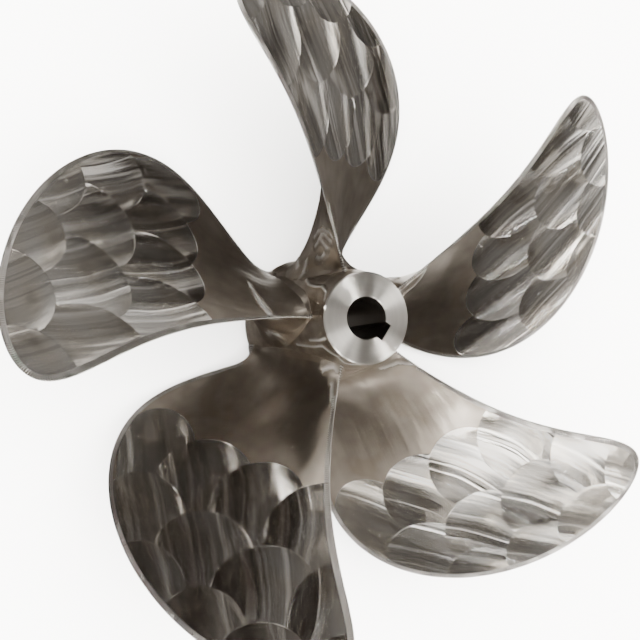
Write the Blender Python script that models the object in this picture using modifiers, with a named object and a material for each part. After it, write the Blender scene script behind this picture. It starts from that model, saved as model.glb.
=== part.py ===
"""Five-bladed, right-handed, fixed-pitch ship propeller, one metre across.

It stands on the forward face of its hub. +Z runs up the shaft axis from that
face to the small aft face, and +X runs from the axis through the keyway.
Metres and degrees, except where a name says otherwise.
"""

from math import atan2, cos, pi, radians, sin, sqrt

import bmesh
import bpy

# The whole propeller
TIP_RADIUS = 0.500
BLADE_COUNT = 5
FIRST_BLADE_ANGLE = 48.75
SEAT_GAP = 0.0003

# The hub, turned outside, with a tapered bore for the shaft and a keyway along it
HUB_LENGTH = 0.240
HUB_AFT_RADIUS = 0.066
HUB_WIDE_RADIUS = 0.1055
HUB_WIDE_HEIGHT = 0.020
HUB_FORWARD_RADIUS = 0.0975
HUB_CHAMFER = 0.0015
BORE_AFT_RADIUS = 0.0305
BORE_TAPER = 1.0 / 24.0
KEYWAY_WIDTH = 0.026
KEYWAY_DEPTH = 0.0068
HUB_SIDES = 72

# The blades. Each law is written in t = r / TIP_RADIUS - MID_STATION
MID_STATION = 0.6
REFERENCE_HEIGHT = 0.1465
CHORD_LAW = (1.178, 2.632, 2.54, 1.97)
SKEW_LAW = (0.0, 20.6, 58.2, 22.3)
RAKE_LAW = (0.0, 0.1783, 0.3075, -0.0973)
PITCH_RATIO_LAW = (1.705, 0.148, -0.885)
EDGE_THICKNESS = 0.003
AXIS_THICKNESS = 0.064
THICKNESS_FALL = 1.15
SECTION_LEAN = 0.8

# The fillet where a blade runs into the hub, all but gone at the blade's edges
FILLET_WIDTH = 0.034
FILLET_RISE = 0.012
FILLET_POWER = 1.8
FILLET_AT_EDGES = 0.12

# How finely a blade is divided
ROOT_SHELLS = (-0.016, 0.005, 0.010, 0.016, 0.024, 0.036)
ROOT_RADIUS = 0.0875
ROOT_FADE = 0.115
OUTER_STATIONS = 13
LAST_STATION = 0.99993
FACE_POINTS = 12
EDGE_POINTS = 3


def law(coefficients, t):
    """A polynomial in t, lowest power first."""
    return sum(value * t**power for power, value in enumerate(coefficients))


def add_material(name, colour, roughness):
    """A bare metal finish."""
    material = bpy.data.materials.new(name)
    material.use_nodes = True
    shader = material.node_tree.nodes["Principled BSDF"]
    shader.inputs["Base Color"].default_value = (*colour, 1.0)
    shader.inputs["Metallic"].default_value = 1.0
    shader.inputs["Roughness"].default_value = roughness
    return material


def add_object(name, mesh, collection, material=None):
    """A mesh as a named object of the collection."""
    item = bpy.data.objects.new(name, mesh)
    collection.objects.link(item)
    if material:
        mesh.materials.append(material)
    return item


def hub_radius(height):
    """The hub's outer radius between its aft face and its widest ring."""
    along = (height - HUB_WIDE_HEIGHT) / (HUB_LENGTH - HUB_WIDE_HEIGHT)
    return HUB_WIDE_RADIUS + (HUB_AFT_RADIUS - HUB_WIDE_RADIUS) * along


def bore_radius(height):
    """The tapered bore, widest at the forward face."""
    return BORE_AFT_RADIUS + (HUB_LENGTH - height) * BORE_TAPER


def hub_profile():
    """Half the hub's cross-section, down its outside and back up its bore."""
    outside = [
        (HUB_AFT_RADIUS - HUB_CHAMFER, HUB_LENGTH),
        (HUB_AFT_RADIUS, HUB_LENGTH - HUB_CHAMFER),
        (HUB_WIDE_RADIUS, HUB_WIDE_HEIGHT),
    ]
    nose_steps = 5
    nose = HUB_WIDE_RADIUS - HUB_FORWARD_RADIUS
    for step in range(1, nose_steps + 1):
        turn = step / nose_steps * pi / 2
        radius = HUB_FORWARD_RADIUS + nose * cos(turn)
        outside.append((radius, HUB_WIDE_HEIGHT * (1 - sin(turn))))
    bore = [
        (bore_radius(0) + HUB_CHAMFER, 0.0),
        (bore_radius(HUB_CHAMFER), HUB_CHAMFER),
        (bore_radius(HUB_LENGTH - HUB_CHAMFER), HUB_LENGTH - HUB_CHAMFER),
        (BORE_AFT_RADIUS + HUB_CHAMFER, HUB_LENGTH),
    ]
    return outside + bore


def add_turned(name, profile, collection, material=None):
    """A closed profile of (radius, height) points, spun about the shaft axis."""
    mesh = bpy.data.meshes.new(name)
    points = [(radius, 0.0, height) for radius, height in profile]
    count = len(points)
    edges = [(index, (index + 1) % count) for index in range(count)]
    mesh.from_pydata(points, edges, [])
    turned = add_object(name, mesh, collection, material)
    spin = turned.modifiers.new("Spin", "SCREW")
    spin.axis = "Z"
    spin.angle = 2 * pi
    spin.steps = HUB_SIDES
    spin.render_steps = HUB_SIDES
    spin.use_merge_vertices = True
    spin.merge_threshold = 0.0001
    spin.use_smooth_shade = True
    return turned


def cut(target, cutter):
    """Take a closed cutter away from an object."""
    boolean = target.modifiers.new(cutter.name, "BOOLEAN")
    boolean.operation = "DIFFERENCE"
    boolean.object = cutter
    boolean.solver = "EXACT"
    cutter.hide_render = True
    cutter.display_type = "WIRE"


def add_keyway_cutter(collection):
    """A bar along the bore's wall on the +X side, tilted with the taper."""
    mesh = bpy.data.meshes.new("keyway_cutter")
    shape = bmesh.new()
    bmesh.ops.create_cube(shape, size=1.0)
    length = HUB_LENGTH * 1.5
    for vertex in shape.verts:
        along = vertex.co.z * length + HUB_LENGTH / 2
        inner = 0.0
        outer = bore_radius(along) + KEYWAY_DEPTH
        vertex.co.x = outer if vertex.co.x > 0 else inner
        vertex.co.y *= KEYWAY_WIDTH
        vertex.co.z = along
    shape.to_mesh(mesh)
    shape.free()
    return add_object("keyway_cutter", mesh, collection)


def blade_laws(radius):
    """Chord, skew angle, rake, pitch angle and thickness of the section at a radius."""
    station = radius / TIP_RADIUS
    t = station - MID_STATION
    chord = TIP_RADIUS * sqrt(max(1 - station, 0)) * law(CHORD_LAW, t)
    skew = radians(law(SKEW_LAW, t))
    rake = law(RAKE_LAW, t)
    pitch_angle = atan2(law(PITCH_RATIO_LAW, t) / pi, station)
    fall = max(1 - station, 0) ** THICKNESS_FALL
    thickness = EDGE_THICKNESS + (AXIS_THICKNESS - EDGE_THICKNESS) * fall
    return chord, skew, rake, pitch_angle, thickness


def section_loop():
    """Points round a section, from the trailing edge over the back to the leading edge.

    Each is (across, round, side): across runs from -1 at the leading edge to 1 at the
    trailing edge, round is the angle on an edge's half circle, or None between the
    edges, and side is -1 on the back and 1 on the face.
    """
    spread = [cos(pi * index / (FACE_POINTS - 1)) for index in range(FACE_POINTS)]
    turns = [pi * (index + 1) / (EDGE_POINTS + 1) for index in range(EDGE_POINTS)]
    back = [(across, None, -1) for across in spread]
    leading = [(-1, turn, 0) for turn in turns]
    face = [(-across, None, 1) for across in spread]
    trailing = [(1, turn, 0) for turn in turns]
    return back + leading + face + trailing


def section_point(chord, thickness, across, turn, side, flare):
    """A point's distance along the chord and its height off the blade's face.

    The section is thickest ahead of its middle and thins out to the trailing edge.
    """
    half = chord / 2 - EDGE_THICKNESS / 2
    middle = -EDGE_THICKNESS / 2
    if turn is not None:
        reach = EDGE_THICKNESS / 2 + flare
        return across * (half + reach * sin(turn)), middle + across * reach * cos(turn)
    if side > 0:
        return across * half, flare
    swell = (1 - across**2) * (1 - SECTION_LEAN * across)
    depth = EDGE_THICKNESS + (thickness - EDGE_THICKNESS) * swell
    return across * half, -depth - flare


def place(radius, along, off):
    """Wrap a section point round the shaft at its radius, on the pitch helix."""
    skew, rake, pitch_angle = blade_laws(radius)[1:4]
    angle = skew + (along * cos(pitch_angle) - off * sin(pitch_angle)) / radius
    height = REFERENCE_HEIGHT + rake + along * sin(pitch_angle) + off * cos(pitch_angle)
    return angle, height


def fillet_flare(nominal, across):
    """How far the root fillet stands off the plain section."""
    rise = max(nominal - ROOT_RADIUS, 0) / FILLET_WIDTH
    fade = 1 - (1 - FILLET_AT_EDGES) * abs(across) ** 3
    return FILLET_RISE * max(1 - rise, 0) ** FILLET_POWER * fade


def blade_point(nominal, across, turn, side):
    """A point of the blade as angle, radius and height, following the hub near the root."""
    follow = max(1 - (nominal - ROOT_RADIUS) / ROOT_FADE, 0)
    follow = min(follow, 1) ** 2
    flare = fillet_flare(nominal, across)
    radius = nominal
    for _ in range(8):
        chord, _, _, _, thickness = blade_laws(radius)
        along, off = section_point(chord, thickness, across, turn, side, flare)
        angle, height = place(radius, along, off)
        radius = nominal + (hub_radius(height) - ROOT_RADIUS) * follow
    return angle, radius, height


def blade_stations():
    """Nominal radii: shells that follow the hub, then stations that crowd to the tip."""
    shells = [ROOT_RADIUS + offset for offset in ROOT_SHELLS]
    start = shells[-1]
    end = TIP_RADIUS * LAST_STATION
    outer = []
    for index in range(1, OUTER_STATIONS + 1):
        part = index / OUTER_STATIONS
        outer.append(start + (end - start) * sin(part * pi / 2))
    return shells + outer


def add_blade_mesh():
    """One blade lofted through its sections, its generating line over +X."""
    loop = section_loop()
    size = len(loop)
    shape = bmesh.new()
    rings = []
    for nominal in blade_stations():
        ring = []
        for across, turn, side in loop:
            angle, radius, height = blade_point(nominal, across, turn, side)
            point = (radius * cos(angle), radius * sin(angle), height)
            ring.append(shape.verts.new(point))
        rings.append(ring)
    for inner, outer in zip(rings, rings[1:]):
        for index in range(size):
            after = (index + 1) % size
            shape.faces.new((inner[index], inner[after], outer[after], outer[index]))
    shape.faces.new(reversed(rings[0]))
    shape.faces.new(rings[-1])
    bmesh.ops.triangulate(shape, faces=shape.faces[:])
    bmesh.ops.recalc_face_normals(shape, faces=shape.faces[:])
    mesh = bpy.data.meshes.new("blade")
    shape.to_mesh(mesh)
    shape.free()
    mesh.shade_smooth()
    return mesh


def add_hub_envelope(collection):
    """The hub's outside with the seat gap round it, to trim the blades' roots."""
    gap = SEAT_GAP
    foot = -0.05
    top = HUB_LENGTH + 0.05
    profile = [
        (0.0, top),
        (hub_radius(top) + gap, top),
        (hub_radius(foot) + gap, foot),
        (0.0, foot),
    ]
    return add_turned("hub_envelope", profile, collection)


def build():
    for old in list(bpy.data.objects):
        bpy.data.objects.remove(old, do_unlink=True)
    scene = bpy.context.scene
    parts = bpy.data.collections.new("ship_propeller")
    cutters = bpy.data.collections.new("cutters")
    scene.collection.children.link(parts)
    scene.collection.children.link(cutters)

    rough_ground = add_material("ground_steel_hub", (0.20, 0.17, 0.14), 0.45)
    hub = add_turned("hub", hub_profile(), parts, rough_ground)
    cut(hub, add_keyway_cutter(cutters))

    envelope = add_hub_envelope(cutters)
    for number in range(BLADE_COUNT):
        disc_ground = add_material(f"ground_steel_blade_{number + 1}", (0.42, 0.39, 0.35), 0.35)
        blade = add_object(f"blade_{number + 1}", add_blade_mesh(), parts, disc_ground)
        turn = FIRST_BLADE_ANGLE + number * 360 / BLADE_COUNT
        blade.rotation_euler.z = radians(turn)
        cut(blade, envelope)


build()
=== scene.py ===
"""A five-bladed ship propeller in bare stainless steel, standing on its hub.

The blades carry the overlapping marks of a hand-held grinding disc, their roots and
the hub's flank are ground more roughly, and the hub's aft face is turned.
Lengths are in metres unless a name says mm. The frame is the CAD model's own.
"""

import math

import bpy
import numpy as np
from mathutils import Matrix, Vector, noise
from mathutils.geometry import delaunay_2d_cdt
from mathutils.kdtree import KDTree


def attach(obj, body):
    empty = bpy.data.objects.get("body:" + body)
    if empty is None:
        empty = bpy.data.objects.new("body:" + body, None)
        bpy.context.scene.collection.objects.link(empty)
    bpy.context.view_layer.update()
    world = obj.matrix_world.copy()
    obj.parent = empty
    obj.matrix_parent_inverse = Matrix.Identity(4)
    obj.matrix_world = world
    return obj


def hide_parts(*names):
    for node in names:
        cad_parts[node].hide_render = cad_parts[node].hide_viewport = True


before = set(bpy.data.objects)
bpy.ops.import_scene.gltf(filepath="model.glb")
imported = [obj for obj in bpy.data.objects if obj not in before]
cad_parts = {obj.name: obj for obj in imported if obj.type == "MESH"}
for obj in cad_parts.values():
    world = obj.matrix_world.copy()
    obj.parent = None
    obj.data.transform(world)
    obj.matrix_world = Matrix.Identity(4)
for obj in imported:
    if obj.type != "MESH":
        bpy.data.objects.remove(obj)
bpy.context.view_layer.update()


# The view. The camera looks down on the aft side of the propeller from beside it,
# nearly 1.5 m above the floor, and is rolled so that the keyway points to the lower
# right of the picture.
CAMERA_PLACE = (-0.45554, -0.37312, 1.45179)
CAMERA_RIGHT = (0.76801, 0.50742, 0.39074)
CAMERA_UP = (-0.56397, 0.82495, 0.03721)
CAMERA_AHEAD = (0.30346, 0.24895, -0.91975)
LENS_MM = 53.48
SENSOR_MM = 36.0
PICTURE_SHIFT = (-0.0006, 0.0033)


def add_camera():
    """The one camera, at the photograph's angle, with everything in focus."""
    data = bpy.data.cameras.new("camera")
    data.lens = LENS_MM
    data.sensor_width = SENSOR_MM
    data.shift_x, data.shift_y = PICTURE_SHIFT
    data.clip_start = 0.01
    camera = bpy.data.objects.new("camera", data)
    bpy.context.scene.collection.objects.link(camera)
    right, up, ahead = Vector(CAMERA_RIGHT), Vector(CAMERA_UP), Vector(CAMERA_AHEAD)
    turned = Matrix((right, up, -ahead)).transposed()
    camera.matrix_world = Matrix.Translation(CAMERA_PLACE) @ turned.to_4x4()
    bpy.context.scene.camera = camera


add_camera()


# The studio. A wide pale floor lies under the hub, and some forty soft round lights of
# different sizes and strengths stand round the room. The metal mirrors only them and
# the room's dark, warm walls, so that its ground marks stand out.
FLOOR_HALF = 9.0
FLOOR_COLOUR = "#F4F3F1"
WALL_COLOUR = "#3D3732"
LAMP_COLOUR = "#FFFCF6"
PALE_COLOUR = "#FBFAF8"
PALE_STRENGTH = 13.0
# Each light's azimuth, elevation and reach in degrees, and its strength. It fades out
# from the first of these shares of its reach to the second.
LIGHT_FADE = (0.85, 1.07)
SOFT_LIGHTS = (
    (-179, 9, 6, 1.5),
    (-167, 14, 2.5, 130),
    (-157, -60, 18.5, 0.38),
    (-139, 23, 24, 0.67),
    (-108, 25, 7.5, 6.1),
    (-101, -27, 3, 25),
    (-88, 19, 6.5, 7.5),
    (-84, 27, 5.5, 20),
    (-79, 9, 2.5, 100),
    (-72, -16, 7.5, 4.9),
    (-71, 31, 4.5, 12),
    (-71, 57, 2.5, 6.4),
    (-60, -36, 21, 0.34),
    (-51, 33, 5.5, 29),
    (-35, 60, 4, 12),
    (-30, 40, 19, 1.4),
    (-4, 3, 13.5, 0.25),
    (-3, 26, 20, 0.33),
    (4, -59, 19.5, 1.3),
    (5, 40, 2.5, 290),
    (8, -26, 7, 3),
    (16, 30, 4, 35),
    (17, 19, 3.5, 6.9),
    (26, 14, 2.5, 6.9),
    (44, 44, 11.5, 2.7),
    (48, -7, 11, 0.14),
    (49, -24, 20.5, 0.13),
    (52, -14, 3, 1.8),
    (56, 29, 8, 25),
    (60, 8, 10, 0.55),
    (77, -60, 5.5, 14),
    (82, 11, 3, 4.5),
    (86, 66, 4.5, 9.2),
    (106, 27, 18, 0.55),
    (111, -11, 6.5, 5.9),
    (119, 2, 8.5, 3.5),
    (121, 14, 3.5, 12),
    (135, 4, 5, 1.2),
    (153, -60, 14, 0.23),
    (153, -30, 5, 2.9),
)


def linear(code):
    """An sRGB hex colour as linear red, green, blue and one for alpha."""
    parts = [int(code[at : at + 2], 16) / 255 for at in (1, 3, 5)]
    bent = [p / 12.92 if p <= 0.04045 else ((p + 0.055) / 1.055) ** 2.4 for p in parts]
    return (*bent, 1.0)


def add_node(tree, kind, inputs=None, **settings):
    """A node with its settings and its inputs: a value, a socket, or another node,
    which is joined by the first of its outputs in use."""
    node = tree.nodes.new(kind)
    for name, value in settings.items():
        setattr(node, name, value)
    for name, value in (inputs or {}).items():
        if isinstance(value, bpy.types.Node):
            value = next(output for output in value.outputs if output.enabled)
        if isinstance(value, bpy.types.NodeSocket):
            tree.links.new(value, node.inputs[name])
        else:
            node.inputs[name].default_value = value
    return node


def light_the_room():
    """The world: pale to the eye and on the floor, with soft lights in the metal. No
    rays are aimed at them: a surface meets them along its mirrored rays alone."""
    world = bpy.data.worlds.new("studio")
    world.cycles.sampling_method = "NONE"
    bpy.context.scene.world = world
    world.use_nodes = True
    tree = world.node_tree
    tree.nodes.clear()
    where = add_node(tree, "ShaderNodeTexCoord").outputs["Generated"]
    total = 0.0
    for azimuth, elevation, reach, strength in SOFT_LIGHTS:
        turn, lift = math.radians(azimuth), math.radians(elevation)
        flat = math.cos(lift)
        towards = (flat * math.cos(turn), flat * math.sin(turn), math.sin(lift))
        full, gone = (math.cos(math.radians(reach * share)) for share in LIGHT_FADE)
        facing = add_node(
            tree,
            "ShaderNodeVectorMath",
            {0: where, 1: towards},
            operation="DOT_PRODUCT",
        )
        glow = add_node(
            tree,
            "ShaderNodeMapRange",
            {"Value": facing, "From Min": gone, "From Max": full, "To Max": strength},
            interpolation_type="SMOOTHSTEP",
        )
        total = add_node(tree, "ShaderNodeMath", {0: total, 1: glow})
    glows = ((LAMP_COLOUR, total), (WALL_COLOUR, 1.0), (PALE_COLOUR, PALE_STRENGTH))
    lamps, walls, pale = (
        add_node(
            tree, "ShaderNodeBackground", {"Color": linear(colour), "Strength": power}
        )
        for colour, power in glows
    )
    mirrored = add_node(tree, "ShaderNodeAddShader", {0: lamps, 1: walls})
    path = add_node(tree, "ShaderNodeLightPath")
    seen = add_node(
        tree,
        "ShaderNodeMixShader",
        {0: path.outputs["Is Glossy Ray"], 1: pale, 2: mirrored},
    )
    add_node(tree, "ShaderNodeOutputWorld", {"Surface": seen})


def add_floor():
    """A matt, nearly white floor."""
    mesh = bpy.data.meshes.new("floor")
    far = FLOOR_HALF
    corners = [(-far, -far, 0), (far, -far, 0), (far, far, 0), (-far, far, 0)]
    mesh.from_pydata(corners, [], [(0, 1, 2, 3)])
    paint = bpy.data.materials.new("matt_floor_paint")
    paint.use_nodes = True
    shader = paint.node_tree.nodes["Principled BSDF"]
    shader.inputs["Base Color"].default_value = linear(FLOOR_COLOUR)
    shader.inputs["Roughness"].default_value = 0.9
    shader.inputs["Specular IOR Level"].default_value = 0.1
    mesh.materials.append(paint)
    floor = bpy.data.objects.new("floor", mesh)
    bpy.context.scene.collection.objects.link(floor)
    floor.visible_glossy = False


light_the_room()
add_floor()


# The five blades, cast in one with the hub in stainless steel and ground by hand.
# Their faces and backs carry rows of overlapping disc marks, their edges a narrow
# filed band, and their roots a coarser satin finish that runs into the hub.
BLADE_NAMES = ("blade_1", "blade_2", "blade_3", "blade_4", "blade_5")
FIRST_BLADE_ANGLE = 48.75
TIP_RADIUS = 0.500
# Laws over the share of the tip's radius, counted from the middle station, lowest
# power first: chord over the tip's radius, skew in degrees, rake, and pitch ratio.
MID_STATION = 0.6
CHORD_LAW = (1.178, 2.632, 2.54, 1.97)
SKEW_LAW = (0.0, 20.6, 58.2, 22.3)
RAKE_LAW = (0.0, 0.1783, 0.3075, -0.0973)
PITCH_RATIO_LAW = (1.705, 0.148, -0.885)
REFERENCE_HEIGHT = 0.1465
REFERENCE_RADIUS = 0.3
EDGE_THICKNESS = 0.003
AXIS_THICKNESS = 0.064
THICKNESS_FALL = 1.15
SECTION_LEAN = 0.8

# The root: its fillet, the fillet's share left at the leading and trailing edges, how
# far the leading edge spreads into the hub, and where the blade starts to follow it.
ROOT_RADIUS = 0.0875
ROOT_DEPTH = 0.006
ROOT_FADE = 0.115
ROOT_SPREAD = 0.020
FILLET_WIDTH = 0.050
FILLET_RISE = 0.028
FILLET_AT_EDGES = (0.50, 0.07)
HUB_LENGTH = 0.240
HUB_AFT_RADIUS = 0.066
HUB_WIDE_RADIUS = 0.1055
HUB_WIDE_HEIGHT = 0.020

# The mesh: its spacing, the steps round a rim, the points on each curve, the radii
# between which the rim's way out turns from along the chord to square to the edge,
# and the nudge that finds which way the surface runs.
GRID_MM = 3.4
GRID_CLEARANCE = 0.55
ROW_SPACING = 0.866
RIM_STEPS = 5
RIM_STRIP = 0.0015
RIM_MIDDLE = -0.0025
ARC_POINTS = 180
OUTLINE_POINTS = 2401
LEAN_POINTS = 901
LEAN_START = 0.05
WRAP_ROUNDS = 8
OUTLINE_SLACK = 0.001
SQUARE_RADII = (0.20, 0.30)
NUDGE = 0.0005

# The relief: the filed band, each mark's lip and the step behind it, and the lumps
# and crests of the root. A crest slopes up from the hub's side and drops to the other.
BAND_MM = 6.5
BAND_START = 0.125
BAND_FADE = 0.02
BAND_DROP = 0.00045
MARK_LIP = 0.0005
MARK_DEPTH = 0.00022
MARK_FADE = 0.050
LIP_ANGLE = 12.0
LUMP_HEIGHT = 0.0026
LUMPS_PER_METRE = 14
LUMP_RADII = (0.19, 0.25)
LUMP_SEED = 5
LUMP_BASE = 0.5
CREST_HEIGHT = 0.0018
CREST_SLOPE = 0.0085
CREST_DROP = 0.0025
CREST_REACH = 0.08

# The disc swings about a pivot beyond each mark, in mm, and its heading in degrees
# drifts with each mm across the blade.
SWING_MM = 215.0
SWING_HEADING = 47.0
SWING_DRIFT = 0.09
MARK_LENGTH_MM = 330

# A blade's finishes by slot. The third reading keeps the pattern of one mark, side,
# blade, band or rim from running on into the next.
DISC_GROUND, SATIN_GROUND, FILED = 0, 1, 2
MARK_PATTERN = (0.11, 0.37)
SIDE_PATTERN = 3
BLADE_PATTERN = 1 / 17
BAND_PATTERN = 9.0
RIM_PATTERN = 9.5

# Crests left where the grinding of a root meets the blade, on the flattened blade in
# mm: each blade's own on its face and on its back.
FACE_CRESTS = {
    "blade_1": (
        ((66, 98), (69, 112), (72, 125), (79, 141)),
        ((26, 104), (30, 118), (36, 129), (50, 135), (64, 138), (79, 141)),
    ),
    "blade_2": (((84, 172), (76, 145), (70, 120)),),
    "blade_3": (
        ((86, 142), (64, 145), (38, 147), (6, 146), (-16, 150)),
        ((78, 140), (60, 142), (38, 144), (14, 144)),
    ),
    "blade_4": (
        ((43, 99), (51, 95), (63, 92), (70, 97)),
        ((84, 138), (72, 124), (66, 112)),
    ),
    "blade_5": (((84, 122), (60, 106), (28, 100)),),
}
BACK_CRESTS = {
    "blade_1": (((-30, 104), (-16, 108), (-2, 104)), ((20, 112), (34, 116))),
    "blade_2": (
        ((4, 133), (19, 140), (39, 142), (65, 135), (71, 130)),
        ((13, 121), (28, 134), (42, 134), (58, 125)),
        ((28, 129), (45, 118)),
        ((23, 107), (31, 105), (38, 110)),
        ((-40, 102), (-27, 101), (-16, 97)),
        ((-1, 104), (4, 97), (7, 91)),
    ),
    "blade_3": (
        ((24, 136), (41, 141), (63, 134)),
        ((30, 122), (47, 116)),
        ((-22, 99), (-8, 101), (4, 96)),
    ),
    "blade_4": (((2, 110), (16, 118), (34, 116)),),
    "blade_5": (((-22, 98), (-8, 103), (10, 101)), ((36, 122), (48, 116))),
}

# Centres and radii of the disc marks on a flattened blade, in mm: across the blade
# from its mid-chord line, out from the shaft, and the radius. Marks nearer the tip
# and nearer the trailing edge lie over the others.
DISC_MARKS = (
    ((-118, 325, 63), (-20, 321, 75), (60, 301, 65), (149, 299, 63)),
    ((-67, 427, 76), (37, 414, 74), (130, 412, 68), (228, 394, 60)),
    ((-15, 486, 67), (83, 489, 64), (172, 499, 65), (277, 480, 60)),
)
# How far each blade's three rows were set off from that plan, in mm.
ROW_OFFSETS = {
    "blade_1": ((-4, -3), (3, 0), (2, 5)),
    "blade_2": ((-15, 0), (-12, -2), (-3, 7)),
    "blade_3": ((-7, -12), (-3, -11), (0, -4)),
    "blade_4": ((4, -2), (10, -7), (10, -2)),
    "blade_5": ((0, 0), (0, 0), (0, 0)),
}
BACK_OFFSETS = ((6, 4), (-8, 5), (5, -6))


def law(coefficients, t):
    """A polynomial in t, lowest power first."""
    return sum(value * t**power for power, value in enumerate(coefficients))


def section(radius):
    """Chord, skew angle, rake, pitch angle and thickness at each radius."""
    station = np.asarray(radius) / TIP_RADIUS
    t = station - MID_STATION
    left = np.clip(1 - station, 0, None)
    chord = TIP_RADIUS * np.sqrt(left) * law(CHORD_LAW, t)
    skew = np.radians(law(SKEW_LAW, t))
    pitch = np.arctan2(law(PITCH_RATIO_LAW, t) / math.pi, station)
    swell = (AXIS_THICKNESS - EDGE_THICKNESS) * left**THICKNESS_FALL
    return chord, skew, law(RAKE_LAW, t), pitch, EDGE_THICKNESS + swell


def lean_table():
    """How far the mid-chord line has slid along the chord by each radius."""
    radii = np.linspace(LEAN_START, TIP_RADIUS, LEAN_POINTS)
    _, skew, rake, pitch, _ = section(radii)
    slide = radii * np.gradient(skew, radii) * np.cos(pitch)
    slide += np.gradient(rake, radii) * np.sin(pitch)
    steps = (slide[1:] + slide[:-1]) / 2 * np.diff(radii)
    total = np.concatenate(([0.0], np.cumsum(steps)))
    return radii, total - np.interp(REFERENCE_RADIUS, radii, total)


LEAN_RADII, LEAN = lean_table()


def along_chord(flat):
    """Distance along the chord, from its middle, of points on the flattened blade."""
    return flat[:, 0] - np.interp(flat[:, 1], LEAN_RADII, LEAN)


def half_chord(nominal):
    """Half the chord of a section's flat part at each radius."""
    return np.maximum(section(nominal)[0] / 2 - EDGE_THICKNESS / 2, 0.001)


def across_share(flat):
    """Share of the half chord at which a flattened point lies, -1 to 1."""
    return np.clip(along_chord(flat) / half_chord(flat[:, 1]), -1, 1)


def flare_at(nominal, across):
    """How far the root fillet, a quarter ellipse, stands off the plain section."""
    short = 1 - np.clip((nominal - ROOT_RADIUS) / FILLET_WIDTH, 0, 1)
    left = np.where(across < 0, *FILLET_AT_EDGES)
    fade = 1 - (1 - left) * np.abs(across) ** 3
    return FILLET_RISE * (1 - np.sqrt(1 - short**2)) * fade


def hub_radius(height):
    """The hub's outer radius between its aft face and its widest ring."""
    along = (height - HUB_WIDE_HEIGHT) / (HUB_LENGTH - HUB_WIDE_HEIGHT)
    return HUB_WIDE_RADIUS + (HUB_AFT_RADIUS - HUB_WIDE_RADIUS) * along


def wrap(flat, off, turn):
    """Flattened points, each standing off the face, wrapped on the helix of a blade."""
    nominal = flat[:, 1]
    along = along_chord(flat)
    follow = np.clip(1 - (nominal - ROOT_RADIUS) / ROOT_FADE, 0, 1) ** 2
    half = half_chord(nominal)
    radius = nominal.copy()
    for _ in range(WRAP_ROUNDS):
        chord, skew, rake, pitch, _ = section(radius)
        stretch = np.where(follow > 0, (chord / 2 - EDGE_THICKNESS / 2) / half, 1)
        reach = along * stretch
        angle = skew + (reach * np.cos(pitch) - off * np.sin(pitch)) / radius
        height = REFERENCE_HEIGHT + rake + reach * np.sin(pitch) + off * np.cos(pitch)
        radius = nominal + (hub_radius(height) - ROOT_RADIUS) * follow
    angle = angle + math.radians(turn)
    return np.stack((radius * np.cos(angle), radius * np.sin(angle), height), axis=1)


def lengths_along(line):
    """How far each point of a polyline lies from its start."""
    steps = np.linalg.norm(np.diff(line, axis=0), axis=1)
    return np.concatenate(([0.0], np.cumsum(steps)))


def gaps_between(points, line):
    """Distances from each point to each point of a line."""
    return np.linalg.norm(points[:, None] - line[None], axis=2)


def unit(vectors):
    """Vectors brought to a length of one."""
    return vectors / np.linalg.norm(vectors, axis=1)[:, None]


def spaced(line, step):
    """A polyline's points moved to even steps along it, ends kept."""
    run = lengths_along(line)
    stops = np.linspace(0, run[-1], max(int(round(run[-1] / step)), 2) + 1)
    return np.stack([np.interp(stops, run, line[:, axis]) for axis in (0, 1)], axis=1)


def edge_lines():
    """A blade's outline, the outline of its flat part and the way out at each point."""
    root = ROOT_RADIUS - ROOT_DEPTH
    q = np.linspace(-1, 1, OUTLINE_POINTS) * math.sqrt(1 - root / TIP_RADIUS)
    nominal = TIP_RADIUS * (1 - q**2)
    chord = section(nominal)[0]
    slide = np.interp(nominal, LEAN_RADII, LEAN)
    short = np.clip(1 - (nominal - ROOT_RADIUS) / FILLET_WIDTH, 0, None)
    slide -= np.where(q < 0, ROOT_SPREAD * short**2, 0)
    line = np.stack((np.sign(q) * chord / 2 + slide, nominal), axis=1)
    line = spaced(line, GRID_MM / 1000)
    ahead = np.gradient(line, axis=0)
    out = np.stack((-ahead[:, 1], ahead[:, 0]), axis=1)
    near, far = SQUARE_RADII
    square = np.clip((line[:, 1] - near) / (far - near), 0, 1)
    out[:, 1] *= square * square * (3 - 2 * square)
    out = unit(out)
    return line, line - out * (EDGE_THICKNESS / 2 + OUTLINE_SLACK), out


def swing(mark):
    """A disc mark's pivot, the angle of its centre round it, and its radius."""
    x, y, size = mark
    heading = math.radians(SWING_HEADING + SWING_DRIFT * x)
    pivot = (x - SWING_MM * math.sin(heading), y + SWING_MM * math.cos(heading))
    return pivot, math.atan2(y - pivot[1], x - pivot[0]), size


def round_pivot(points, pivot, start):
    """Distance of points from a pivot and their angles round it from a start."""
    away = points - np.array(pivot)
    angle = np.arctan2(away[:, 1], away[:, 0]) - start
    return np.linalg.norm(away, axis=1), (angle + math.pi) % (2 * math.pi) - math.pi


def read_mark(points, mark):
    """Where points (mm) lie in a mark: aside of its middle, past its arc, inside or
    not, and the way its scratches face."""
    pivot, start, size = swing(mark)
    far, angle = round_pivot(points, pivot, start)
    aside = far - SWING_MM
    reach = (SWING_MM**2 + far**2 - size**2) / (2 * SWING_MM * np.maximum(far, 1))
    arc = np.arccos(np.clip(reach, -1, 1))
    past = far * (angle + arc)
    inside = (np.abs(aside) < size) & (past > 0) & (past < MARK_LENGTH_MM)
    rim = np.stack((far * np.cos(start - arc), far * np.sin(start - arc)), axis=1)
    centre = SWING_MM * np.array((math.cos(start), math.sin(start)))
    (x, y), cos, sin = unit(rim - centre).T, np.cos(angle + arc), np.sin(angle + arc)
    return aside, past, inside, np.stack((x * cos - y * sin, x * sin + y * cos), axis=1)


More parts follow.
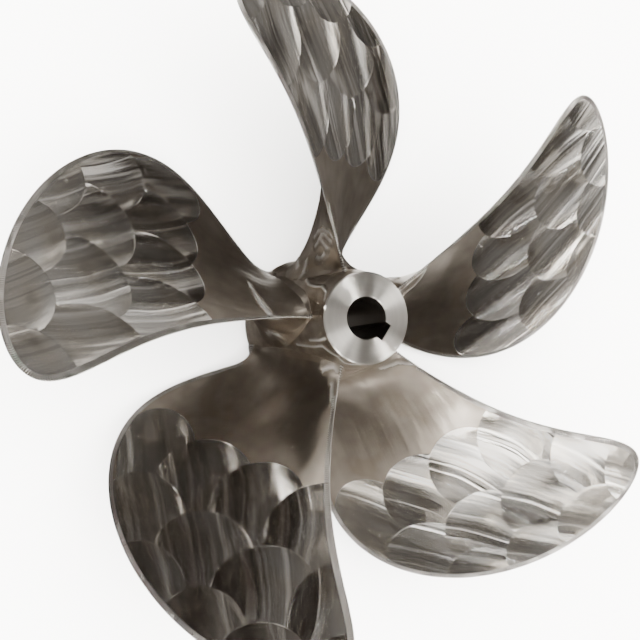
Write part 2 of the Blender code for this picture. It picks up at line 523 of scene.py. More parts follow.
def shifted_marks(offsets):
    """The plan's marks, moved row by row."""
    return [
        (x + dx, y + dy, size)
        for row, (dx, dy) in zip(DISC_MARKS, offsets)
        for x, y, size in row
    ]


def top_marks(flat, marks, lip):
    """The uppermost mark at each flattened point, or -1 in the root, and how far past
    its arc the point lies."""
    points = flat * 1000
    which, past = np.full(len(points), -1), np.zeros(len(points))
    for index, mark in enumerate(marks):
        _, run, inside, _ = read_mark(points, mark)
        inside &= run > lip
        which[inside] = index
        past[inside] = run[inside]
    return which, past / 1000


def inside_line(points, line):
    """Whether flat points lie within a closed polyline."""
    x, y = points[:, 0][:, None], points[:, 1][:, None]
    x1, y1 = line[:, 0][None], line[:, 1][None]
    x2, y2 = np.roll(line, -1, axis=0).T[:, None]
    crosses = (y1 > y) != (y2 > y)
    reach = (x2 - x1) * (y - y1) / np.where(y2 == y1, 1e-12, y2 - y1) + x1
    return (crosses & (x < reach)).sum(axis=1) % 2 == 1


def crest_lines(name, side):
    """The crests on one side of a blade, in metres, as polylines of even steps."""
    crests = (FACE_CRESTS if side > 0 else BACK_CRESTS)[name]
    return [spaced(np.array(line) / 1000, GRID_MM / 1000) for line in crests]


def crest_relief(flat, crests):
    """How far the crests stand up at each flattened point."""
    rise = np.zeros(len(flat))
    for line in crests:
        near = np.abs(flat - line.mean(axis=0)).max(axis=1) < CREST_REACH
        gaps = gaps_between(flat[near], line)
        outward = flat[near][:, 1] > line[gaps.argmin(axis=1), 1]
        run = gaps.min(axis=1) / np.where(outward, CREST_DROP, CREST_SLOPE)
        rise[near] = np.maximum(rise[near], CREST_HEIGHT * np.clip(1 - run, 0, 1))
    return rise


def mark_arcs(marks, limit):
    """The arcs that bound the marks, where no later mark covers them."""
    arcs = []
    turns = np.linspace(0, 2 * math.pi, ARC_POINTS, endpoint=False)
    circle = np.stack((np.cos(turns), np.sin(turns)), axis=1)
    for index, mark in enumerate(marks):
        pivot, start, size = swing(mark)
        for reach in (size, size - MARK_LIP * 1000):
            ring = mark[:2] + reach * circle
            far, angle = round_pivot(ring, pivot, start)
            keep = (angle < 0) & (np.abs(far - SWING_MM) < reach)
            keep &= inside_line(ring / 1000, limit)
            for later in marks[index + 1 :]:
                keep &= ~(read_mark(ring, later)[2])
            keep |= np.roll(keep, 1) & inside_line(ring / 1000, limit)
            for a in np.nonzero(keep)[0]:
                b = (a + 1) % len(ring)
                if keep[b]:
                    arcs.append((ring[a] / 1000, ring[b] / 1000))
    return arcs


def flat_side(outline, band, marks, crests):
    """Triangles over the flat part of a side, with the band, arcs and crests as edges,
    and the new numbers of the border's points."""
    back = outline[0] - outline[-1]
    steps = int(np.linalg.norm(back) * 1000 / GRID_MM)
    foot = outline[-1] + back * np.linspace(0, 1, steps + 1)[1:-1, None]
    border = np.concatenate((outline, foot))
    points = [Vector(p) for p in border]
    edges = [(len(border) + i, len(border) + i + 1) for i in range(len(band) - 1)]
    points += [Vector(p) for p in band]
    for a, b in mark_arcs(marks, outline):
        edges.append((len(points), len(points) + 1))
        points += [Vector(a), Vector(b)]
    for crest in crests:
        crest = crest[inside_line(crest, border)]
        first = len(points)
        edges += [(first + i, first + i + 1) for i in range(len(crest) - 1)]
        points += [Vector(p) for p in crest]
    fixed = KDTree(len(points))
    for index, (x, y) in enumerate(points):
        fixed.insert((x, y, 0), index)
    fixed.balance()
    low, high = border.min(axis=0), border.max(axis=0)
    step = GRID_MM / 1000
    rows = np.arange(low[1], high[1], step * ROW_SPACING)
    grid = []
    for index, y in enumerate(rows):
        columns = np.arange(low[0] + (index % 2) * step / 2, high[0], step)
        grid.append(np.stack((columns, np.full_like(columns, y)), axis=1))
    grid = np.concatenate(grid)
    grid = grid[inside_line(grid, border)]
    clear = GRID_CLEARANCE * step
    free = [Vector(p) for p in grid if fixed.find((*p, 0))[2] > clear]
    whole = [list(range(len(border)))]
    found = delaunay_2d_cdt(points + free, edges, whole, 1, 1e-7, True)
    flat = np.array([tuple(p) for p in found[0]])
    order = np.full(len(border), -1)
    for index, origins in enumerate(found[3]):
        for origin in origins:
            if origin < len(border):
                order[origin] = index
    tris = np.array([face for face in found[2] if len(face) == 3])
    tris = tris[inside_line(flat[tris].mean(axis=1), border)]
    return flat, tris, order


def band_share(flat, outline):
    """How far into the filed band points lie: 0 at its inner line, 1 at the edge."""
    apart = gaps_between(flat, outline).min(axis=1)
    share = np.clip(1 - apart * 1000 / BAND_MM, 0, 1)
    return share * np.clip((flat[:, 1] - BAND_START) / BAND_FADE, 0, 1)


def side_heights(flat, marks, outline, crests, side):
    """How far each flattened point stands off the blade's face plane."""
    which, past = top_marks(flat, marks, MARK_LIP * 1000 / 2)
    fade = np.clip(1 - past / MARK_FADE, 0, 1)
    relief = np.where(which >= 0, MARK_DEPTH * fade**2, 0)
    relief += BAND_DROP * band_share(flat, outline)
    near, far = LUMP_RADII
    in_root = np.clip((far - flat[:, 1]) / (far - near), 0, 1)
    spots = flat * LUMPS_PER_METRE
    lumps = np.array([noise.noise(Vector((x, y, LUMP_SEED + side))) for x, y in spots])
    relief += LUMP_HEIGHT * in_root * (lumps + LUMP_BASE)
    relief -= crest_relief(flat, crests)
    across = across_share(flat)
    flare = flare_at(flat[:, 1], across)
    if side > 0:
        return flare - relief
    swell = (1 - across**2) * (1 - SECTION_LEAN * across)
    depth = EDGE_THICKNESS + (section(flat[:, 1])[4] - EDGE_THICKNESS) * swell
    return -depth - flare + relief


def corner_readings(flat, tris, marks, outline, crests, run):
    """Each triangle's finish and, at its corners, the readings and the direction of
    its grinding."""
    middles = flat[tris].mean(axis=1)
    which, _ = top_marks(middles, marks, 0.0)
    readings = np.zeros((len(tris), 3, 3))
    facing = np.zeros((len(tris), 3, 2))
    for index, mark in enumerate(marks):
        own = which == index
        corners = flat[tris[own]].reshape(-1, 2) * 1000
        aside, past, _, way = read_mark(corners, mark)
        readings[own, :, 0] = (aside / 1000).reshape(-1, 3)
        readings[own, :, 1] = (past / 1000).reshape(-1, 3)
        readings[own, :, 2] = index * MARK_PATTERN[1] + MARK_PATTERN[0]
        facing[own] = way.reshape(-1, 3, 2)
    bare = which < 0
    readings[bare, :, :2] = flat[tris[bare]]
    readings[bare, :, 2] = (crest_relief(flat, crests) / CREST_HEIGHT)[tris[bare]]
    facing[bare] = (0.0, 1.0)
    slot = np.where(bare, SATIN_GROUND, DISC_GROUND)
    edge = gaps_between(middles, outline).min(axis=1)
    band = (edge * 1000 < BAND_MM) & (middles[:, 1] > BAND_START)
    corners = flat[tris[band]].reshape(-1, 2)
    gaps = gaps_between(corners, outline)
    closest = gaps.argmin(axis=1)
    ahead = unit(np.gradient(outline, axis=0))
    readings[band, :, 0] = run[closest].reshape(-1, 3)
    readings[band, :, 1] = gaps.min(axis=1).reshape(-1, 3)
    readings[band, :, 2] = BAND_PATTERN
    facing[band] = ahead[closest].reshape(-1, 3, 2)
    slot[band] = FILED
    return slot, readings, facing


def finish_mesh(mesh, slots, brush, readings, sharp_angle):
    """A mesh's finishes and, at its corners, the way its scratches face and its
    readings, smooth but for its sharp edges."""
    mesh.polygons.foreach_set("material_index", np.array(slots, np.int32))
    for label, values in (("brush", brush), ("marks", readings)):
        attribute = mesh.attributes.new(label, "FLOAT_VECTOR", "CORNER")
        attribute.data.foreach_set("vector", np.array(values, np.float32).ravel())
    mesh.shade_smooth()
    mesh.set_sharp_from_angle(angle=math.radians(sharp_angle))


def make_blade(name, turn):
    """One blade's mesh, with its marks in relief and their readings at its corners."""
    line, outline, out = edge_lines()
    run = lengths_along(line)
    filed = outline[:, 1] > BAND_START
    band = spaced(outline[filed] - out[filed] * BAND_MM / 1000, GRID_MM / 1000)
    places, faces, slots, readings, brushes, borders = [], [], [], [], [], []
    count = 0
    for side in (1, -1):
        marks = shifted_marks(ROW_OFFSETS[name] if side > 0 else BACK_OFFSETS)
        crests = crest_lines(name, side)
        flat, tris, order = flat_side(outline, band, marks, crests)
        off = side_heights(flat, marks, outline, crests, side)
        place = wrap(flat, off, turn)
        slide = (wrap(flat + (NUDGE, 0), off, turn) - place) / NUDGE
        rise = (wrap(flat + (0, NUDGE), off, turn) - place) / NUDGE
        slot, reading, facing = corner_readings(flat, tris, marks, outline, crests, run)
        brush = facing[..., :1] * slide[tris] + facing[..., 1:] * rise[tris]
        if side > 0:
            tris, reading, brush = tris[:, ::-1], reading[:, ::-1], brush[:, ::-1]
        own = SIDE_PATTERN * side + BLADE_PATTERN * turn
        reading[slot != SATIN_GROUND, :, 2] += own
        places.append(place)
        faces += (tris + count).tolist()
        slots.append(slot)
        readings.append(reading.reshape(-1, 3))
        brushes.append(brush.reshape(-1, 3))
        borders.append(order + count)
        count += len(place)
    columns = len(outline)
    rim_start = count
    flare = flare_at(outline[:, 1], across_share(outline))
    drop = BAND_DROP * band_share(outline, outline)
    rings = [borders[0][:columns]]
    for step in range(1, RIM_STEPS):
        bend = math.pi * step / RIM_STEPS
        reach = EDGE_THICKNESS / 2 + flare
        flat = outline + out * (reach * math.sin(bend))[:, None]
        off = -EDGE_THICKNESS / 2 + (reach - drop) * math.cos(bend)
        places.append(wrap(flat, off, turn))
        rings.append(np.arange(columns) + count)
        count += columns
    rings.append(borders[1][:columns])
    middle = wrap(outline, np.full(columns, RIM_MIDDLE), turn)
    ahead = unit(np.gradient(middle, axis=0))
    rim_faces, rim_read, rim_brush = [], [], []
    for level, (upper, lower) in enumerate(zip(rings, rings[1:])):
        for i in range(columns - 1):
            rim_faces.append((lower[i], lower[i + 1], upper[i + 1], upper[i]))
            for at, down in ((i, 1), (i + 1, 1), (i + 1, 0), (i, 0)):
                rim_read.append((run[at], (level + down) * RIM_STRIP, RIM_PATTERN))
                rim_brush.append(ahead[at])
    upper, lower = ([*border[columns - 1 :], border[0]] for border in borders)
    caps = [(*lower[i : i + 2], *upper[i : i + 2][::-1]) for i in range(len(upper) - 1)]
    caps.append([ring[0] for ring in rings[::-1]])
    caps.append([ring[-1] for ring in rings])
    faces += [tuple(int(v) for v in face) for face in rim_faces + caps]
    mesh = bpy.data.meshes.new(name)
    mesh.from_pydata(np.concatenate(places).tolist(), [], faces)
    slots += [np.full(len(rim_faces), FILED), np.full(len(caps), SATIN_GROUND)]
    still = np.zeros((sum(len(cap) for cap in caps), 3))
    brush = np.concatenate((*brushes, rim_brush, still + (0, 0, 1)))
    reading = np.concatenate((*readings, rim_read, still))
    finish_mesh(mesh, np.concatenate(slots), brush, reading, LIP_ANGLE)
    joined = np.zeros(2 * len(mesh.edges), np.int32)
    mesh.edges.foreach_get("vertices", joined)
    sharp = np.zeros(len(mesh.edges), bool)
    mesh.attributes["sharp_edge"].data.foreach_get("value", sharp)
    sharp &= joined.reshape(-1, 2).max(axis=1) < rim_start
    mesh.attributes["sharp_edge"].data.foreach_set("value", sharp)
    return mesh


def start_metal(name, anisotropy):
    """A new bare metal, its nodes and its grinding readings. Its shine is drawn out
    square to the way its scratches face."""
    metal = bpy.data.materials.new(name)
    metal.use_nodes = True
    tree = metal.node_tree
    shader = tree.nodes["Principled BSDF"]
    shader.inputs["Metallic"].default_value = 1.0
    shader.inputs["Anisotropic"].default_value = anisotropy
    brush = add_node(tree, "ShaderNodeAttribute", attribute_name="brush")
    tree.links.new(brush.outputs["Vector"], shader.inputs["Tangent"])
    marks = add_node(tree, "ShaderNodeAttribute", attribute_name="marks")
    return metal, tree, marks.outputs["Vector"]


def finish_metal(metal, colour, roughness, relief):
    """The metal, with its shader's colour, roughness and relief joined."""
    shader = metal.node_tree.nodes["Principled BSDF"]
    ends = {"Base Color": colour, "Roughness": roughness, "Normal": relief}
    for name, node in ends.items():
        output = next(output for output in node.outputs if output.enabled)
        metal.node_tree.links.new(output, shader.inputs[name])
    return metal


def drawn_grain(tree, place, stretch, *sizes):
    """Grains of each width in mm and fineness, drawn out where the stretch is small."""
    drawn = add_node(
        tree, "ShaderNodeVectorMath", {0: place, 1: stretch}, operation="MULTIPLY"
    )
    return [
        add_node(
            tree,
            "ShaderNodeTexNoise",
            {"Vector": drawn, "Scale": 1000 / width, "Detail": detail},
        )
        for width, detail in sizes
    ]


def two_tone(tree, grain, low, high, dark, light):
    """How far a grain has risen from low to high, and a colour that follows it."""
    share = add_node(
        tree, "ShaderNodeMapRange", {"Value": grain, "From Min": low, "From Max": high}
    )
    colour = add_node(
        tree,
        "ShaderNodeMix",
        {0: share, 6: linear(dark), 7: linear(light)},
        data_type="RGBA",
    )
    return share, colour


def paint_crest_highlights(tree, crest, colour, roughness):
    """A metal's colour and roughness, made matt along its crests and painted pale
    there: a painted highlight on the crests.
    """
    crest_highlight_share = add_node(
        tree, "ShaderNodeMapRange", {"Value": crest, "From Min": 0.35, "From Max": 0.85}
    )
    # Painted highlight: the colour along the crests is mixed toward a pale #F1EEEA.
    bright = add_node(
        tree,
        "ShaderNodeMix",
        {0: crest_highlight_share, 6: colour, 7: linear("#F1EEEA")},
        data_type="RGBA",
    )
    dull = add_node(
        tree, "ShaderNodeMix", {0: crest_highlight_share, 2: roughness, 3: 0.5}, data_type="FLOAT"
    )
    return bright, dull


def disc_ground_stainless():
    """Stainless steel under a grinding disc. Each mark is a shallow hollow made of
    passes along the disc's travel, with low ridges that catch the light as bunches of
    streaks, hairline scratches and, here and there, chatter. The bunched streaks are
    also painted paler: a painted highlight on top of the light their ridges catch.
    The hollow is drawn deeper and the scratches coarser than they are, so that they
    show."""
    metal, tree, marks = start_metal("disc_ground_stainless", 1.0)
    # The widths of what the disc leaves, from its slow sway to its scratches, then the
    # length of a pass, how far it sways, and the widths of the tint and the chatter.
    sway_mm, swathe_mm, rise_mm, pass_mm, hair_mm = 60, 34, 15, 8, 1.7
    length_mm, swayed_mm, tint_mm, chatter_mm = 625, 6, 70, 3
    sway, clouds = (
        add_node(
            tree,
            "ShaderNodeTexNoise",
            {"Vector": marks, "Scale": 1000 / width, "Detail": 1.0},
        )
        for width in (sway_mm, tint_mm)
    )
    swayed = add_node(
        tree,
        "ShaderNodeVectorMath",
        {0: sway.outputs["Color"], 1: (swayed_mm / 1000, 0, 0), 2: marks},
        operation="MULTIPLY_ADD",
    )
    travel = add_node(
        tree,
        "ShaderNodeVectorMath",
        {0: swayed, 1: (1000 / pass_mm, 1000 / length_mm, 1.0)},
        operation="MULTIPLY",
    )
    passes = add_node(tree, "ShaderNodeTexVoronoi", {"Vector": travel, "Scale": 1.0})
    swathes, rises, hairs = (
        add_node(
            tree,
            "ShaderNodeTexNoise",
            {"Vector": travel, "Scale": pass_mm / width, "Detail": detail},
        )
        for width, detail in ((swathe_mm, 0.0), (rise_mm, 1.0), (hair_mm, 2.0))
    )
    streaks, bunches = (
        add_node(
            tree,
            "ShaderNodeMapRange",
            {"Value": wave, "From Min": low, "From Max": high},
            interpolation_type="SMOOTHSTEP",
        )
        for wave, low, high in ((rises, 0.50, 0.66), (swathes, 0.42, 0.58))
    )
    bunched = add_node(
        tree, "ShaderNodeMath", {0: streaks, 1: bunches}, operation="MULTIPLY"
    )
    shade = add_node(tree, "ShaderNodeSeparateColor", {0: passes.outputs["Color"]})
    mixed = add_node(
        tree,
        "ShaderNodeMath",
        {0: shade.outputs["Red"], 1: 0.8, 2: hairs},
        operation="MULTIPLY_ADD",
    )
    _, dark = two_tone(tree, mixed, 0.3, 1.5, "#A5A29E", "#C4C1BD")
    # Painted highlight: the bunched streaks are mixed toward a pale #ECEAE7, on top of
    # the light their ridges catch through the relief below.
    grey = add_node(
        tree,
        "ShaderNodeMix",
        {0: bunched, 6: dark, 7: linear("#ECEAE7")},
        data_type="RGBA",
    )
    warmth = add_node(
        tree, "ShaderNodeMapRange", {"Value": clouds, "From Min": 0.4, "From Max": 0.65}
    )
    tinted = add_node(
        tree,
        "ShaderNodeMix",
        {0: warmth, 6: grey, 7: linear("#FBF7F1")},
        data_type="RGBA",
        blend_type="MULTIPLY",
    )
    rough = add_node(
        tree,
        "ShaderNodeMapRange",
        {"Value": shade.outputs["Green"], "To Min": 0.22, "To Max": 0.25},
    )
    across = add_node(tree, "ShaderNodeSeparateXYZ", {0: marks})
    squared = add_node(
        tree,
        "ShaderNodeMath",
        {0: across.outputs["X"], 1: across.outputs["X"]},
        operation="MULTIPLY",
    )
    beat = add_node(
        tree,
        "ShaderNodeMath",
        {0: across.outputs["Y"], 1: 2 * math.pi * 1000 / chatter_mm},
        operation="MULTIPLY",
    )
    chatter = add_node(tree, "ShaderNodeMath", {0: beat}, operation="SINE")
    where = add_node(
        tree,
        "ShaderNodeMapRange",
        {"Value": clouds, "From Min": 0.58, "From Max": 0.66, "To Max": 0.00012},
    )
    # The hollow, then what lies in it with how high it stands: the swathes' waves, the
    # bunched streaks, the ridges between passes, the chatter and the hairlines.
    relief = add_node(tree, "ShaderNodeBump", {"Height": squared, "Distance": 0.42})
    for height, rise in (
        (swathes, 0.0009),
        (bunched, 0.0003),
        (passes.outputs["Distance"], 0.00009),
        (chatter, where),
        (hairs, 0.00002),
    ):
        bump = {"Height": height, "Distance": rise, "Normal": relief}
        relief = add_node(tree, "ShaderNodeBump", bump)
    return finish_metal(metal, tinted, rough, relief)


def satin_ground_stainless():
    """The same steel at a blade's root, ground by hand with a coarse pad out along the
    blade: a cloudy satin with low lumps and a brown tint from the heat."""
    metal, tree, marks = start_metal("satin_ground_stainless", 0.35)
    cloud_mm, lump_mm, stroke_mm, along = 60, 22, 5, 0.12
    where = add_node(tree, "ShaderNodeTexCoord").outputs["Object"]
    clouds = add_node(
        tree,
        "ShaderNodeTexNoise",
        {"Vector": where, "Scale": 1000 / cloud_mm, "Detail": 2.0},
    )
    lumps, strokes = drawn_grain(
        tree, marks, (1.0, along, 1.0), (lump_mm, 1.0), (stroke_mm, 2.0)
    )
    share, brown = two_tone(tree, clouds, 0.35, 0.65, "#9A9084", "#B7AEA3")
    rough = add_node(
        tree, "ShaderNodeMapRange", {"Value": share, "To Min": 0.42, "To Max": 0.32}
    )
    low = add_node(tree, "ShaderNodeBump", {"Height": lumps, "Distance": 0.0014})
    fine = add_node(
        tree, "ShaderNodeBump", {"Height": strokes, "Distance": 0.0002, "Normal": low}
    )
    crest = add_node(tree, "ShaderNodeSeparateXYZ", {0: marks}).outputs["Z"]
    # The crests get a painted highlight: a pale colour and a matt finish along them.
    bright, dull = paint_crest_highlights(tree, crest, brown, rough)
    return finish_metal(metal, bright, dull, fine)


def filed_edge_stainless():
    """The same steel along a blade's edge, filed lighter than the face, with a tick
    across the band about every 3 mm where the file chattered. The ticks are drawn
    deeper than they are, with painted shade darkening their hollows, so that they show."""
    metal, tree, marks = start_metal("filed_edge_stainless", 0.5)
    tick_mm, patch_mm, line_mm, along = 3.1, 45, 1.8, 0.05
    tick_depth = 0.0004
    place = add_node(tree, "ShaderNodeSeparateXYZ", {0: marks})
    beat = add_node(
        tree,
        "ShaderNodeMath",
        {0: place.outputs["X"], 1: 2 * math.pi * 1000 / tick_mm},
        operation="MULTIPLY",
    )
    ticks = add_node(tree, "ShaderNodeMath", {0: beat}, operation="SINE")
    patches = add_node(
        tree,
        "ShaderNodeTexNoise",
        {"Vector": marks, "Scale": 1000 / patch_mm, "Detail": 1.0},
    )
    depth = add_node(
        tree,
        "ShaderNodeMapRange",
        {"Value": patches, "From Min": 0.40, "From Max": 0.55, "To Max": tick_depth},
    )
    (lines,) = drawn_grain(tree, marks, (along, 1.0, 1.0), (line_mm, 2.0))
    share, light = two_tone(tree, lines, 0.3, 0.7, "#BAB6B1", "#DAD7D3")
    notches = add_node(
        tree, "ShaderNodeMath", {0: ticks, 1: depth}, operation="MULTIPLY"
    )
    # Painted shade: the ticks' hollows are darkened toward #A6A29E.
    painted_tick_shade = add_node(
        tree,
        "ShaderNodeMapRange",
        {"Value": notches, "From Min": 0.0, "From Max": -tick_depth / 2},
    )
    ticked = add_node(
        tree,
        "ShaderNodeMix",
        {0: painted_tick_shade, 6: light, 7: linear("#A6A29E")},
        data_type="RGBA",
        blend_type="MULTIPLY",
    )
    rough = add_node(
        tree, "ShaderNodeMapRange", {"Value": share, "To Min": 0.44, "To Max": 0.36}
    )
    low = add_node(tree, "ShaderNodeBump", {"Height": ticks, "Distance": depth})
    fine = add_node(
        tree, "ShaderNodeBump", {"Height": lines, "Distance": 0.00012, "Normal": low}
    )
    return finish_metal(metal, ticked, rough, fine)


blade_metals = (
    disc_ground_stainless(),
    satin_ground_stainless(),
    filed_edge_stainless(),
)
for blade_count, blade_name in enumerate(BLADE_NAMES):
    blade_mesh = make_blade(blade_name, FIRST_BLADE_ANGLE + 72 * blade_count)
    for blade_metal in blade_metals:
        blade_mesh.materials.append(blade_metal)
    ground_blade = bpy.data.objects.new("ground_" + blade_name, blade_mesh)
    bpy.context.scene.collection.objects.link(ground_blade)
    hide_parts(blade_name)
    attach(ground_blade, "root")


# The hub, one casting with the blades. Its flank between them is rough-ground by
# hand and stays brown, its aft face is turned bright, and a tapered bore with a
# keyway runs through it for the shaft.
HUB_FORWARD_RADIUS = 0.0975
HUB_CHAMFER = 0.0015
HUB_SHARP_ANGLE = 32
BORE_AFT_RADIUS = 0.0305
BORE_TAPER = 1.0 / 24.0
BORE_LIP = 0.001
KEYWAY_WIDTH = 0.026
KEYWAY_DEPTH = 0.0068

# The mesh: columns round the bore and the keyway's two walls and floor, and rings in
# the bore, over the forward face, round the forward edge, up the flank and over the
# aft face.
ARC_COLUMNS = 240
WALL_COLUMNS = 8
FLOOR_COLUMNS = 10
BORE_RINGS = 40
FORWARD_RINGS = 8
NOSE_RINGS = 12
FLANK_RINGS = 84
AFT_RINGS = 22

# The flank's ripples: how deep, the broad and the short ones with an offset, their
# number to the metre round the hub and up it, and their share, and how far from the
# flank's ends they start and over what length they fade in.
RIPPLE_DEPTH = 0.0015
RIPPLE_BASE = 0.62
RIPPLES = ((0, 34, 75, 0.5), (7, 90, 150, 0.16))
RIPPLE_ENDS = (0.004, 0.005)
RIPPLE_FADES = (0.006, 0.008)

# The hub's finishes by slot.
ROUGH_GROUND, TURNED, BORED = 0, 1, 2

# Crests left by the grinding on the flank, as angles round the hub in degrees and
# heights in mm.
CREST_WIDTH = 0.005
CREST_STEPS = 25
FLANK_CRESTS = (
    ((166, 150), (173, 169), (175, 194), (174, 209), (182, 229), (193, 234)),
    ((-122, 193), (-120, 215), (-121, 232)),
    (
        *((-120, 155), (-114, 192), (-112, 216), (-101, 222)),
        *((-93, 230), (-80, 224), (-64, 236)),
    ),
)


def bore_outline(height, widen):
    """Angles and radii round the bore and its keyway at a height."""
    bore = BORE_AFT_RADIUS + (HUB_LENGTH - height) * BORE_TAPER + widen
    floor = bore + KEYWAY_DEPTH
    half = KEYWAY_WIDTH / 2 + widen
    mouth, corner = math.asin(half / bore), math.atan2(half, floor)
    arc = np.linspace(mouth, 2 * math.pi - mouth, ARC_COLUMNS + 1)
    wall = np.linspace(-mouth, -corner, WALL_COLUMNS + 1)[1:]
    flat = np.linspace(-corner, corner, FLOOR_COLUMNS + 1)[1:]
    back = np.linspace(corner, mouth, WALL_COLUMNS + 1)[1:-1]
    angles = np.concatenate((arc, wall, flat, back))
    sides = half / np.sin(-wall), floor / np.cos(flat), half / np.sin(back)
    return angles, np.concatenate((np.full(len(arc), bore), *sides))


def flank_radius(height):
    """The hub's outside from its aft chamfer down to its rounded forward edge."""
    if height > HUB_WIDE_HEIGHT:
        return hub_radius(height)
    nose = HUB_WIDE_RADIUS - HUB_FORWARD_RADIUS
    share = height / HUB_WIDE_HEIGHT
    return HUB_FORWARD_RADIUS + nose * math.sqrt(max(1 - (1 - share) ** 2, 0))


def flank_crests(angles, radii, height):
    """How far the crests stand up round the hub at a height."""
    rise = np.zeros(angles.shape)
    for line in FLANK_CRESTS:
        turns, levels = np.array(line, float).T
        stops = np.linspace(0, len(turns) - 1, CREST_STEPS * len(turns))
        turn = np.radians(np.interp(stops, np.arange(len(turns)), turns))
        level = np.interp(stops, np.arange(len(turns)), levels) / 1000
        aside = (angles[:, None] - turn + math.pi) % (2 * math.pi) - math.pi
        apart = np.hypot(aside * radii[:, None], height - level).min(axis=1)
        rise = np.maximum(rise, CREST_HEIGHT * np.clip(1 - apart / CREST_WIDTH, 0, 1))
    return rise


def hub_rings():
    """Rings of points down the bore, out over the forward face, up the flank, and in
    over the aft face, each with the finish of the strip that starts at it."""
    rings = []
    base, _ = bore_outline(HUB_LENGTH, 0.0)

    def add(angles, radii, height, finish):
        rings.append((angles, np.broadcast_to(radii, angles.shape), height, finish))

    for height in np.linspace(HUB_LENGTH - BORE_LIP, BORE_LIP, BORE_RINGS):
        add(*bore_outline(height, 0.0), height, BORED)
    foot_angles, foot_radii = bore_outline(0.0, BORE_LIP)
    for share in np.linspace(0, 1, FORWARD_RINGS):
        radii = foot_radii + (HUB_FORWARD_RADIUS - foot_radii) * share
        add(foot_angles + (base - foot_angles) * share, radii, 0.0, TURNED)
    bend = np.linspace(0, math.pi / 2, NOSE_RINGS)[1:]
    shoulder = HUB_LENGTH - HUB_CHAMFER
    flank = np.linspace(HUB_WIDE_HEIGHT, shoulder, FLANK_RINGS)[1:]
    for height in np.concatenate((HUB_WIDE_HEIGHT * (1 - np.cos(bend)), flank)):
        ends = height - RIPPLE_ENDS[0], HUB_LENGTH - RIPPLE_ENDS[1] - height
        fade = min(ends[0] / RIPPLE_FADES[0], ends[1] / RIPPLE_FADES[1], 1.0)
        radii = np.full(base.shape, flank_radius(height))
        radii += flank_crests(base, radii, height) * max(fade, 0.0)
        if fade > 0:
            for index, angle in enumerate(base):
                x, y = math.cos(angle) * radii[index], math.sin(angle) * radii[index]
                depth = RIPPLE_BASE
                for aside, across, up, share in RIPPLES:
                    spot = Vector((x * across + aside, y * across, height * up))
                    depth += share * noise.noise(spot)
                radii[index] -= RIPPLE_DEPTH * fade * depth
        add(base, radii, height, ROUGH_GROUND if height < shoulder else TURNED)
    lip_angles, lip_radii = bore_outline(HUB_LENGTH, BORE_LIP)
    for share in np.linspace(1, 0, AFT_RINGS):
        radii = lip_radii + (HUB_AFT_RADIUS - HUB_CHAMFER - lip_radii) * share
        add(lip_angles + (base - lip_angles) * share, radii, HUB_LENGTH, TURNED)
    return rings


def make_hub():
    """The hub's mesh, with the way its scratches face at each corner."""
    rings = hub_rings()
    columns = len(rings[0][0])
    points, faces, slots, brush, reading, crests = [], [], [], [], [], []
    for angles, radii, height, _ in rings:
        crests += (flank_crests(angles, radii, height) / CREST_HEIGHT).tolist()
        around = zip(angles, radii)
        points += [(r * math.cos(a), r * math.sin(a), height) for a, r in around]
    for level, (_, _, _, finish) in enumerate(rings):
        here, after = level * columns, (level + 1) % len(rings) * columns
        for i in range(columns):
            j = (i + 1) % columns
            faces.append((here + i, here + j, after + j, after + i))
            slots.append(finish)
            for corner in faces[-1]:
                x, y, z = points[corner]
                far = math.hypot(x, y)
                out = (x / far, y / far, 0)
                brush.append(out if finish == TURNED else (0, 0, 1))
                first = crests[corner] if finish == ROUGH_GROUND else far
                reading.append((first, math.atan2(y, x), z))
    mesh = bpy.data.meshes.new("hub")
    mesh.from_pydata(points, [], faces)
    finish_mesh(mesh, slots, brush, reading, HUB_SHARP_ANGLE)
    return mesh


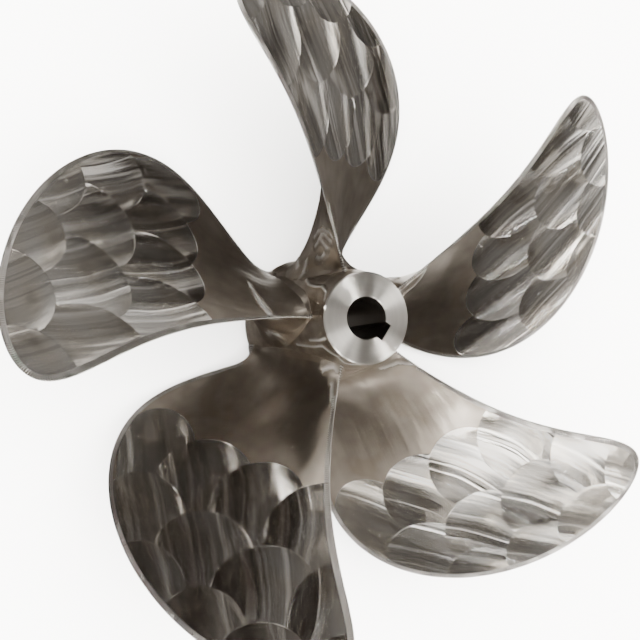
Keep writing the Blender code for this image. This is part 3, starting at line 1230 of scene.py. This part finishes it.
def rough_ground_stainless():
    """Stainless steel roughed down by hand and left: brown and rippled, with a painted
    highlight that makes it paler along its crests. Its cuts run up and down the hub."""
    metal, tree, marks = start_metal("rough_ground_stainless", 0.3)
    patch_mm, cut_mm, upward = 22, 4, 0.35
    where = add_node(tree, "ShaderNodeTexCoord").outputs["Object"]
    patches = add_node(
        tree,
        "ShaderNodeTexNoise",
        {"Vector": where, "Scale": 1000 / patch_mm, "Detail": 3.0},
    )
    (cuts,) = drawn_grain(tree, where, (1.0, 1.0, upward), (cut_mm, 3.0))
    cuts.inputs["Roughness"].default_value = 0.6
    _, brown = two_tone(tree, patches, 0.25, 0.75, "#94897B", "#BCB2A7")
    rough = add_node(
        tree,
        "ShaderNodeMapRange",
        {
            "Value": cuts,
            "From Min": 0.3,
            "From Max": 0.7,
            "To Min": 0.32,
            "To Max": 0.46,
        },
    )
    relief = add_node(tree, "ShaderNodeBump", {"Height": cuts, "Distance": 0.0005})
    crest = add_node(tree, "ShaderNodeSeparateXYZ", {0: marks}).outputs["X"]
    # The crests get a painted highlight: a pale colour and a matt finish along them.
    bright, dull = paint_crest_highlights(tree, crest, brown, rough)
    return finish_metal(metal, bright, dull, relief)


def turned_stainless():
    """Stainless steel faced on a lathe: bright, with fine rings round the bore, so that
    light spreads on it in sectors. The rings are drawn coarser than a tool's feed."""
    metal, tree, marks = start_metal("turned_stainless", 0.98)
    ring_mm, step_mm, around = 1.1, 9, 0.0002
    rings, steps = drawn_grain(
        tree, marks, (1.0, around, 0.0), (ring_mm, 2.0), (step_mm, 1.0)
    )
    silver = add_node(
        tree,
        "ShaderNodeMix",
        {0: steps, 6: linear("#CFCBC5"), 7: linear("#E6E3DE")},
        data_type="RGBA",
    )
    rough = add_node(
        tree, "ShaderNodeMapRange", {"Value": steps, "To Min": 0.33, "To Max": 0.29}
    )
    relief = add_node(tree, "ShaderNodeBump", {"Height": rings, "Distance": 0.00005})
    return finish_metal(metal, silver, rough, relief)


def bored_stainless():
    """The bore's wall, reamed to fit the shaft: painted shade makes it dark grey, with
    fine rings drawn coarser than they are."""
    metal, tree, marks = start_metal("bored_stainless", 0.6)
    ring_mm, around = 1.2, 0.0002
    (rings,) = drawn_grain(tree, marks, (0.0, around, 1.0), (ring_mm, 2.0))
    # Painted shade: the bore's wall is coloured dark grey.
    grey = add_node(
        tree,
        "ShaderNodeMix",
        {0: rings, 6: linear("#57504A"), 7: linear("#6E6861")},
        data_type="RGBA",
    )
    rough = add_node(
        tree, "ShaderNodeMapRange", {"Value": rings, "To Min": 0.32, "To Max": 0.4}
    )
    relief = add_node(tree, "ShaderNodeBump", {"Height": rings, "Distance": 0.00004})
    return finish_metal(metal, grey, rough, relief)


hub_mesh = make_hub()
for hub_metal in (rough_ground_stainless(), turned_stainless(), bored_stainless()):
    hub_mesh.materials.append(hub_metal)
ground_hub = bpy.data.objects.new("ground_hub", hub_mesh)
bpy.context.scene.collection.objects.link(ground_hub)
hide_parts("hub")
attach(ground_hub, "root")
